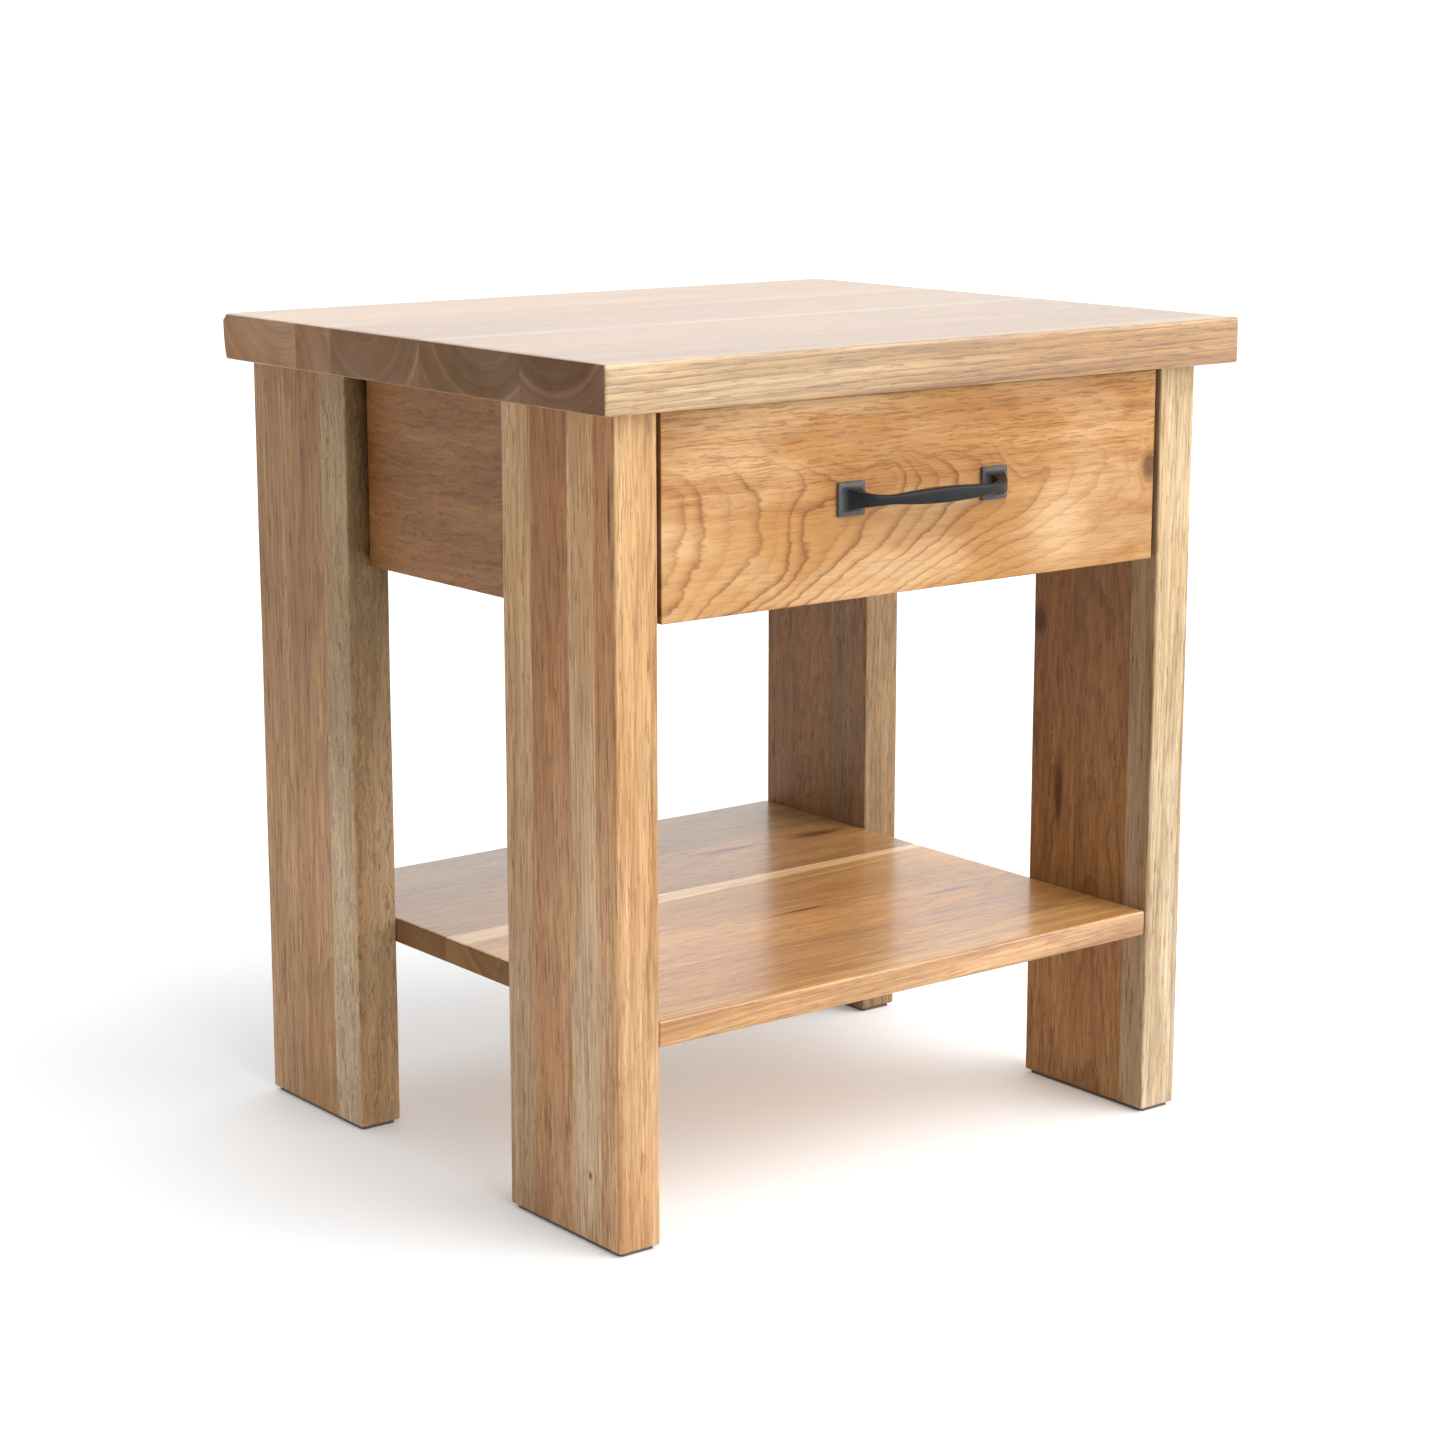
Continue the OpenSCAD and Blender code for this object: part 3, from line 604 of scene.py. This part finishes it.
def make_legs():
    tall = (1.0, 1.0, 0.6)
    knots = [
        (Vector((224, -93, 358)) * MM, 4.5 * MM, tall),
        (Vector((-258, -181, 49)) * MM, 1.2 * MM, tall),
        (Vector((-258, -207, 496)) * MM, 1.0 * MM, (1.0, 1.0, 0.06)),
        (Vector((224, -117, 232)) * MM, 2.0 * MM, (1.0, 0.6, 0.10)),
    ]
    material = wood("leg_oak", knots=knots, ring_depth=0.50, streaks=0.26, pores=0.9, short=2.6)
    for number, (node, strips) in enumerate(LEGS.items()):
        side = "left" if "left" in node else "right"
        end_piece = "front_top_rail" if "front" in node else "rear_apron"
        low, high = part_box(node)
        staves = []
        # A strip's colour near the floor is partly the wood's own and partly painted light that lightens the
        # leg low down
        for share, tone, near_floor_and_painted_light, pith, lean, curl in strips:
            strip_end = low.y + share * (high.y - low.y)
            staves.append(Stave(strip_end, tone, None, ALL_HEART, pith, lean, curl, near_floor_and_painted_light))
        staves[0].edge, staves[0].edge_first = (Vector(c) for c in LEG_FRONTS[node])
        board(node + "_board", node, Z, Y, staves, 1.6 * MM, material, "table", 20 + number,
              (side + "_apron", end_piece, "shelf_dowels", side + "_slide_frame_screws"))


make_legs()


def make_shelf():
    end_tone = (0.400, 0.250, 0.135)
    # The front stave's edge colours are darker than its top: painted shade, for the front edge getting less
    # light than the top, which faces the light from above
    staves = [
        Stave(-118 * MM, (0.590, 0.335, 0.126), None, ALL_HEART, (0.010, 0.060), (0.00, 0.03),
              edge=(0.425, 0.242, 0.108), edge_first=(0.405, 0.226, 0.074), butt=end_tone),
        Stave(-22 * MM, (0.660, 0.362, 0.124), None, ALL_HEART, (-0.020, -0.070), (0.00, -0.05),
              butt=end_tone),
        Stave(44 * MM, (0.610, 0.335, 0.108), (0.95, 0.70, 0.40), 0.0575, (-0.028, 0.045), (0.04, 0.00),
              butt=end_tone),
        Stave(140 * MM, (0.420, 0.222, 0.076), None, ALL_HEART, (0.000, -0.060), (0.00, 0.05),
              butt=end_tone),
        Stave(None, (0.335, 0.203, 0.076), None, ALL_HEART, (0.040, 0.070), (0.00, -0.04)),
    ]
    knots = [
        (Vector((182, 118, 157)) * MM, 4.6 * MM, (0.26, 1.0, 1.0)),
        (Vector((92, 119, 157)) * MM, 2.6 * MM, (0.13, 1.0, 1.0)),
        (Vector((149, -80, 157)) * MM, 1.7 * MM, (0.11, 1.0, 1.0)),
        (Vector((24, -56, 157)) * MM, 1.6 * MM, (0.09, 1.0, 1.0)),
    ]
    material = wood("shelf_oak", knots=knots, ring_depth=0.5, wave=6.0, streaks=0.5, pores=0.85, gloss=0.40,
                    shine=0.5, lacquer=0.7, lacquer_gloss=0.20, calm=0.75, short=1.8)
    board("shelf_board", "lower_shelf", X, Y, staves, 2.0 * MM, material, "table", 7,
          ("shelf_dowels",))


make_shelf()


# The drawer front's darker growth rings: how far out in millimetres, and how dark
OVALS = [
    (24, 0.7), (42, 1.0), (62, 0.35), (88, 1.0), (112, 0.35), (137, 1.0), (157, 0.9),
    (174, 0.4), (194, 1.0), (222, 0.9), (243, 0.5), (266, 0.9), (294, 0.8), (318, 0.5),
    (345, 0.8), (372, 0.6), (398, 0.7), (430, 0.5), (462, 0.6), (500, 0.4), (540, 0.5),
]
# How many of them one colour ramp has room for
RINGS_IN_RAMP = 7
# Swirls on the drawer front: how far right and up from the ovals' middle, how big, and how far they push
# the rings
SWIRLS = [
    (318 * MM, 19 * MM, 17 * MM, 78 * MM),
    (200 * MM, 12 * MM, 15 * MM, -48 * MM),
    (122 * MM, -17 * MM, 18 * MM, 40 * MM),
    (445 * MM, 0 * MM, 13 * MM, 60 * MM),
]


def front_figure(t, bent):
    """The drawer front's growth rings: wide ovals round its left end low down, straight and close higher up.

    Places are measured from the ovals' middle: height upwards and run to the right.
    """
    _, height, run = t.parts(bent)
    below = t.math("MINIMUM", height, 0.0)
    above = t.math("MAXIMUM", height, 0.0)
    rough_reach = t.length(t.vector(0.0, t.math("MULTIPLY", below, 1.6), run))
    flatter = t.between(rough_reach, 50 * MM, 340 * MM, 0.95, 5.2)
    flatter = t.math("MULTIPLY", flatter, t.between(run, 10 * MM, 60 * MM, 0.45, 1.0))
    steeper = t.between(run, 30 * MM, 190 * MM, 1.6, 6.5)
    rise = t.math("ADD", t.math("MULTIPLY", below, flatter), t.math("MULTIPLY", above, steeper))
    reach = t.math("SQRT", t.math("ADD", t.math("MULTIPLY", run, run), t.math("MULTIPLY", rise, rise)))
    for scale, detail, sway in (((13, 13, 13), 3.0, 46), ((60, 60, 40), 3.0, 16), ((330, 330, 28), 2.0, 9)):
        ragged = t.math("SUBTRACT", t.noise(bent, scale, detail, 0.55), 0.5)
        reach = t.math("ADD", reach, t.math("MULTIPLY", ragged, sway * MM))
    for centre_run, centre_height, size, lift in SWIRLS:
        away = t.vector_math("SUBTRACT", bent, (0.0, centre_height, centre_run))
        bump = t.between(t.length(away), size * 2.2, 0.0)
        reach = t.math("ADD", reach, t.math("MULTIPLY", bump, lift))
    late = None
    for first in range(0, len(OVALS), RINGS_IN_RAMP):
        rings = OVALS[first:first + RINGS_IN_RAMP]
        low, high = rings[0][0] - 12, rings[-1][0] + 4
        stops = []
        for place, depth in rings:
            stops += [(place - 9.0, 0.05), (place - 3.4, depth * 0.50), (place, depth), (place + 2.8, 0.0)]
        shares = [((place - low) / (high - low), level) for place, level in stops]
        shade = t.ramp(t.between(reach, low * MM, high * MM, 0.0, 1.0, False), shares)
        late = shade if late is None else t.math("ADD", late, shade)

    patchy = t.between(t.noise(bent, (22, 30, 14), 2.0), 0.34, 0.58, 0.6, 1.0)
    late = t.math("MULTIPLY", late, patchy)
    late = t.math("MULTIPLY", late, t.between(height, 4 * MM, 32 * MM, 1.0, 0.16))
    late = t.math("MULTIPLY", late, t.between(run, 300 * MM, 375 * MM, 1.0, 0.55))
    early = t.between(late, 0.0, 0.5, 1.0, 0.6)
    cream = t.between(t.noise(bent, (16, 24, 9), 3.0), 0.38, 0.64, -0.25, 0.32)
    upper = t.between(run, 40 * MM, 330 * MM, 0.36, 0.02)
    lower = t.between(run, 60 * MM, 300 * MM, 0.38, 0.20)
    cream = t.math("ADD", cream, t.mix(t.between(height, -15 * MM, 25 * MM), lower, upper))
    right = t.vector_math("SUBTRACT", bent, (0.0, -38 * MM, 358 * MM))
    cream = t.math("MAXIMUM", cream, t.between(t.length(right), 52 * MM, 8 * MM, 0.0, 0.95))
    left = t.vector_math("SUBTRACT", bent, (0.0, -22 * MM, 116 * MM))
    cream = t.math("ADD", cream, t.between(t.length(left), 42 * MM, 6 * MM, 0.0, -0.45))
    cream = t.math("MAXIMUM", t.math("MINIMUM", cream, 1.0), 0.0)
    fineness = t.between(height, -25 * MM, 20 * MM, 0.5, 1.0)
    return late, early, cream, fineness, None


def make_drawer_front():
    low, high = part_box("drawer_front")
    to_ovals = (-(low.y + high.y) / 2, -492 * MM, -(low.x - 8 * MM))
    knots = [(Vector((216 * MM, low.y, 488 * MM)), 5.5 * MM, (1.0, 1.0, 0.8))]
    material = wood("figured_oak", along(X, to_ovals), (0.372, 0.190, 0.057), (0.555, 0.388, 0.222),
                    curl=0.25, end=faces_along(X), figure=front_figure, knots=knots, ring_depth=1.15,
                    wave=3.0, pores=0.6, streaks=0.22, blotch=9.0, short=1.3, fine=0.75)
    staves = [Stave(None, HONEY)]
    board("drawer_front_board", "drawer_front", X, Z, staves, 1.0 * MM, material, "drawer",
          11, ("drawer_front_screws", "pull_screws"))


make_drawer_front()


# ---------------------------------------------------------------- CAD nodes that keep their shape

def dress(names, material, bevel=0.0):
    """Gives CAD nodes a finished material, and softens their sharp edges."""
    for name in names:
        piece = nodes[name]
        piece.data.materials.clear()
        piece.data.materials.append(material)
        if bevel:
            flat = piece.modifiers.new("join_flat_faces", "DECIMATE")
            flat.decimate_type = "DISSOLVE"
            flat.angle_limit = math.radians(0.5)
            soft = piece.modifiers.new("soft_edges", "BEVEL")
            soft.width = bevel
            soft.segments = 2
            soft.limit_method = "ANGLE"
            soft.angle_limit = math.radians(30)
            soft.harden_normals = True


def cad_wood(name, tone, axis, offset, lean=(0.0, 0.0), curl=0.0, **look):
    """Wood of one colour for a CAD node, with its grain along axis."""
    return wood(name, along(axis, offset, lean), tone, tone, ALL_HEART, curl, faces_along(axis), **look)


APRON_LOOK = dict(wave=16.0, wave_scale=11.0, ring_depth=0.28, streaks=0.3, pores=0.6, blotch=30.0,
                  short=1.6, fine=0.6)
MAPLE_LOOK = dict(ring_depth=0.22, pores=0.15, streaks=0.3)
dress(["left_apron"],
      cad_wood("left_apron_oak", REDDISH, Y, (0.27, -0.50, 3.0), (0.05, 0.03), 0.7, **APRON_LOOK),
      0.5 * MM)
dress(["right_apron"],
      cad_wood("right_apron_oak", REDDISH, Y, (-0.27, -0.52, 9.0), (0.04, -0.03), 0.6, **APRON_LOOK),
      0.5 * MM)
dress(["rear_apron"],
      cad_wood("rear_apron_oak", TAN, X, (-0.16, -0.47, 5.0), (0.0, 0.04), wave=7.0), 0.5 * MM)
dress(["front_top_rail"], cad_wood("rail_oak", TAN, X, (0.20, -0.48, 7.0)), 0.4 * MM)
dress(["drawer_left_side", "drawer_right_side"],
      cad_wood("drawer_side_maple", MAPLE, Y, (0.05, -0.38, 11.0), **MAPLE_LOOK), 0.3 * MM)
dress(["drawer_box_front", "drawer_box_back"],
      cad_wood("drawer_end_maple", MAPLE, X, (0.08, -0.38, 13.0), **MAPLE_LOOK), 0.3 * MM)
dress(["drawer_bottom"],
      cad_wood("drawer_panel_maple", MAPLE, X, (0.1, -0.35, 17.0), ring_depth=0.25, wave=8.0, pores=0.15,
               streaks=0.3))
dress(["shelf_dowels"], cad_wood("dowel_beech", MAPLE, X, (0.1, 0.1, 19.0), pores=0.2))


def steel(name, color, roughness, scratch):
    """Plated steel: brushed along Y, a little uneven."""
    t = Tree(name)
    place = t.object_place()
    brushed = t.noise(place, (900, 25, 900), 3.0, 0.6)
    patch = t.noise(place, (60, 18, 60), 2.0)
    tint = t.mix(t.between(patch, 0.3, 0.7), tuple(c * 0.86 for c in color), color)
    uneven = t.math("ADD", t.math("MULTIPLY", brushed, 0.6), t.math("MULTIPLY", patch, 0.4))
    rough = t.between(uneven, 0.3, 0.7, roughness - 0.08, roughness + 0.10)
    return t.finish(tint, rough, t.bump(brushed, scratch, 0.6), Metallic=1.0)


zinc = steel("zinc_plate", (0.60, 0.61, 0.63), 0.34, 0.03 * MM)
polished = steel("polished_balls", (0.78, 0.79, 0.81), 0.14, 0.004 * MM)
SLIDE_ENDINGS = ("_slide_outer", "_slide_middle", "_slide_inner", "_ball_cage")
dress([n for n in nodes if n.endswith(SLIDE_ENDINGS)], zinc, 0.15 * MM)
dress([n for n in nodes if n.endswith(("_screws", "_clips"))], zinc, 0.12 * MM)
BALL_NODES = [n for n in nodes if n.endswith("_balls")]
dress(BALL_NODES, polished)
for ball_node in BALL_NODES:
    nodes[ball_node].data.shade_smooth()


def felt():
    """Brown felt: fine fuzz over darker matted patches."""
    t = Tree("brown_felt")
    place = t.object_place()
    fuzz = t.noise(place, (1500, 1500, 1500), 4.0, 0.7)
    matted = t.noise(place, (180, 180, 180), 3.0)
    color = t.mix(t.between(fuzz, 0.3, 0.7), (0.050, 0.032, 0.022), (0.115, 0.078, 0.055))
    color = t.mix(t.between(matted, 0.4, 0.7, 0.0, 0.5), color, (0.045, 0.030, 0.022))
    return t.finish(color, 0.95, t.bump(fuzz, 0.4 * MM, 0.8), Sheen_Weight=0.4, Sheen_Roughness=0.6)


dress([n for n in nodes if n.endswith("_pad")], felt(), 0.5 * MM)


# ---------------------------------------------------------------- the pull

def black_metal():
    """Satin black on cast metal, a little rubbed."""
    t = Tree("black_satin_metal")
    place = t.object_place()
    cast = t.noise(place, (420, 420, 420), 3.0, 0.6)
    rubbed = t.noise(place, (70, 70, 70), 3.0, 0.5)
    # The plates against the wood are greyer than the arms and the bar, which start further out; part of that
    # grey is painted sheen, standing for the highlights on the plates' edges
    bar_y, plate_y = -0.219, -0.214
    plate_share = t.between(t.parts(place)[Y], bar_y, plate_y)
    plate_grey_and_painted_sheen = t.mix(plate_share, (0.0062, 0.0064, 0.0068), (0.055, 0.0555, 0.056))
    color = t.shade(t.between(rubbed, 0.35, 0.7), plate_grey_and_painted_sheen, (1.5, 1.5, 1.5))
    uneven = t.math("ADD", t.math("MULTIPLY", cast, 0.5), t.math("MULTIPLY", rubbed, 0.5))
    rough = t.between(uneven, 0.3, 0.7, 0.28, 0.40)
    return t.finish(color, rough, t.bump(cast, 0.06 * MM, 0.5), IOR=1.5, Specular_IOR_Level=0.19)


def skin_between(bm, one, two):
    """Faces between two closed rings with the same number of corners."""
    for i in range(len(one)):
        j = (i + 1) % len(one)
        bm.faces.new((one[i], one[j], two[j], two[i]))


def rounded_ring(half_w, half_h, corner):
    """A rounded rectangle, as (across, up) points, with the same number of points whatever its size."""
    steps = 6
    points = []
    for side_x, side_y, start in ((1, 1, 0), (-1, 1, 90), (-1, -1, 180), (1, -1, 270)):
        for i in range(steps + 1):
            angle = math.radians(start + 90 * i / steps)
            points.append((side_x * (half_w - corner) + corner * math.cos(angle),
                           side_y * (half_h - corner) + corner * math.sin(angle)))
    return points


def spread(stations, count):
    """Smooth values between the stations, by a Catmull-Rom curve through them."""
    out = []
    last = len(stations) - 1
    for i in range(last):
        p0, p1, p2, p3 = (stations[max(0, min(last, i + k))] for k in (-1, 0, 1, 2))
        for step in range(count):
            s = step / count
            out.append([0.5 * (2 * b + (c - a) * s + (2 * a - 5 * b + 4 * c - d) * s * s
                               + (3 * b - a - 3 * c + d) * s ** 3) for a, b, c, d in zip(p0, p1, p2, p3)])
    out.append(list(stations[last]))
    return out


def pull_stations(foot, half_span, reach):
    """The pull's cross-sections from the back of its left foot plate to the middle of its bar.

    Each is: along from the foot's centre, out from the drawer, turn in degrees, half width, half height,
    corner.
    """
    plate = [
        (0, 0, 0, foot, foot, 1.3 * MM),
        (0, 1.7 * MM, 0, foot, foot, 1.3 * MM),
        (0, 2.3 * MM, 0, foot - 0.25 * MM, foot - 0.25 * MM, 1.25 * MM),
        (0, 2.5 * MM, 0, foot - 0.8 * MM, foot - 0.8 * MM, 1.1 * MM),
        (0, 2.5 * MM, 0, foot - 2.4 * MM, foot - 2.4 * MM, 0.9 * MM),
        (0, 2.9 * MM, 0, foot - 2.9 * MM, foot - 2.9 * MM, 0.9 * MM),
    ]
    arm = [
        (0, 3.0 * MM, 0, foot - 3.0 * MM, foot - 3.0 * MM, 0.9 * MM),
        (0.4 * MM, 5.0 * MM, 4, 7.0 * MM, 7.3 * MM, 1.0 * MM),
        (1.4 * MM, 8.6 * MM, 16, 5.2 * MM, 5.8 * MM, 1.2 * MM),
        (3.6 * MM, 12.8 * MM, 36, 4.2 * MM, 4.8 * MM, 1.4 * MM),
        (7.4 * MM, 16.8 * MM, 58, 3.6 * MM, 4.0 * MM, 1.5 * MM),
        (13.0 * MM, 19.6 * MM, 74, 3.2 * MM, 3.4 * MM, 1.5 * MM),
        (20.0 * MM, 21.4 * MM, 80, 3.1 * MM, 3.2 * MM, 1.5 * MM),
        (32.0 * MM, 22.9 * MM, 84, 3.6 * MM, 4.0 * MM, 1.7 * MM),
        (47.0 * MM, reach - 4.5 * MM, 88, 4.1 * MM, 4.9 * MM, 2.0 * MM),
        (half_span, reach - 4.4 * MM, 90, 4.4 * MM, 5.3 * MM, 2.1 * MM),
    ]
    return plate + spread(arm, 5)


def make_pull():
    """One cast piece: the left half's cross-sections, then the same mirrored, with skin between them."""
    low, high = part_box("drawer_pull")
    foot = (high.z - low.z) / 2
    left = low.x + foot
    centre_z = (low.z + high.z) / 2
    half = pull_stations(foot, -left, high.y - low.y)
    bm = bmesh.new()
    rings = []
    for mirrored in (False, True):
        stations = half[:-1] if mirrored else half
        made = []
        for run, out, turn, half_w, half_h, corner in stations:
            angle = math.radians(turn)
            across = Vector((math.cos(angle), math.sin(angle), 0))
            middle = Vector((left + run, high.y - out, centre_z))
            ring = []
            for a, b in rounded_ring(half_w, half_h, corner):
                co = middle + across * a + Vector((0, 0, b))
                if mirrored:
                    co.x = -co.x
                ring.append(bm.verts.new(co))
            made.append(ring)
        rings += made[::-1] if mirrored else made
    for one, two in zip(rings, rings[1:]):
        skin_between(bm, one, two)
    bm.faces.new(rings[0][::-1])
    bm.faces.new(rings[-1])
    bmesh.ops.recalc_face_normals(bm, faces=bm.faces[:])
    mesh = bpy.data.meshes.new("pull")
    bm.to_mesh(mesh)
    bm.free()
    piece = bpy.data.objects.new("drawer_pull_cast", mesh)
    bpy.context.scene.collection.objects.link(piece)
    mesh.materials.append(black_metal())
    mesh.shade_smooth()
    mesh.set_sharp_from_angle(angle=math.radians(38))
    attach(piece, "drawer")
    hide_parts("drawer_pull")


make_pull()


# ---------------------------------------------------------------- studio

# Soft lights that fill part of the surroundings: the way to the light's middle, the cosines of the angles
# from it at which the light starts and is full, and how bright it is
SOFT_LIGHTS = [
    ((0.45, -0.82, 0.36), (0.50, 0.98), 3.9),
    ((0.00, 0.00, 1.00), (0.30, 0.95), 0.40),
    ((0.60, 0.77, 0.15), (0.10, 0.90), 0.85),
]
# How bright the rest of the surroundings is, and how much the floor shines by itself
SURROUNDINGS = 0.33
FLOOR_GLOW = 0.12


def make_floor():
    """A plain pale floor, wide enough to reach the horizon."""
    mesh = bpy.data.meshes.new("floor")
    bm = bmesh.new()
    sides = 96
    for radius in (1.5, 6.0, 60.0):
        bmesh.ops.create_circle(bm, cap_ends=False, radius=radius, segments=sides)
    bm.verts.ensure_lookup_table()
    inner, middle, outer = (bm.verts[i * sides:(i + 1) * sides] for i in range(3))
    bm.faces.new(inner)
    skin_between(bm, middle, inner)
    skin_between(bm, outer, middle)
    bmesh.ops.recalc_face_normals(bm, faces=bm.faces[:])
    bm.to_mesh(mesh)
    bm.free()
    t = Tree("pale_floor")
    place = t.object_place()
    cloudy = t.noise(place, (1.3, 1.3, 1.3), 3.0)
    tint = t.mix(t.between(cloudy, 0.3, 0.7), (0.815, 0.835, 0.850), (0.845, 0.860, 0.870))
    mesh.materials.append(t.finish(tint, 0.85, t.bump(t.noise(place, (900, 900, 900), 2.0), 0.02 * MM, 0.3),
                                   Specular_IOR_Level=0.25, Emission_Color=(1, 1, 1, 1),
                                   Emission_Strength=FLOOR_GLOW))
    floor = bpy.data.objects.new("floor", mesh)
    bpy.context.scene.collection.objects.link(floor)


def light_studio():
    """White surroundings, brightest in front on the right, with soft edges everywhere."""
    world = bpy.data.worlds.new("studio")
    world.use_nodes = True
    tree = world.node_tree
    tree.nodes.clear()
    way = tree.nodes.new("ShaderNodeTexCoord").outputs["Generated"]
    total = None
    for middle, (low, high), strength in SOFT_LIGHTS:
        dot = tree.nodes.new("ShaderNodeVectorMath")
        dot.operation = "DOT_PRODUCT"
        tree.links.new(way, dot.inputs[0])
        dot.inputs[1].default_value = Vector(middle).normalized()
        edge = tree.nodes.new("ShaderNodeMapRange")
        edge.interpolation_type = "SMOOTHSTEP"
        tree.links.new(dot.outputs["Value"], edge.inputs[0])
        for value, socket in zip((low, high, 0.0, strength), edge.inputs[1:5]):
            socket.default_value = value
        add = tree.nodes.new("ShaderNodeMath")
        add.operation = "ADD"
        add.inputs[1].default_value = SURROUNDINGS
        if total is not None:
            tree.links.new(total, add.inputs[1])
        tree.links.new(edge.outputs[0], add.inputs[0])
        total = add.outputs[0]
    background = tree.nodes.new("ShaderNodeBackground")
    background.inputs["Color"].default_value = (1.0, 1.0, 1.0, 1.0)
    tree.links.new(total, background.inputs["Strength"])
    output = tree.nodes.new("ShaderNodeOutputWorld")
    tree.links.new(background.outputs[0], output.inputs[0])
    bpy.context.scene.world = world
    bpy.context.scene.view_settings.view_transform = "Standard"


def make_camera():
    """The view from the front left, a little above the table's top."""
    azimuth, elevation, distance = math.radians(-37.844), math.radians(12.009), 2.3935
    aim = Vector((0.0, 8.5 * MM, 290.9 * MM))
    back = Vector((math.sin(azimuth) * math.cos(elevation), -math.cos(azimuth) * math.cos(elevation),
                   math.sin(elevation)))
    data = bpy.data.cameras.new("camera")
    data.sensor_width = 36
    data.lens = 80.504
    data.clip_end = 200
    camera = bpy.data.objects.new("camera", data)
    camera.location = aim + back * distance
    camera.rotation_euler = (-back).to_track_quat("-Z", "Y").to_euler()
    bpy.context.scene.collection.objects.link(camera)
    bpy.context.scene.camera = camera


make_floor()
light_studio()
make_camera()
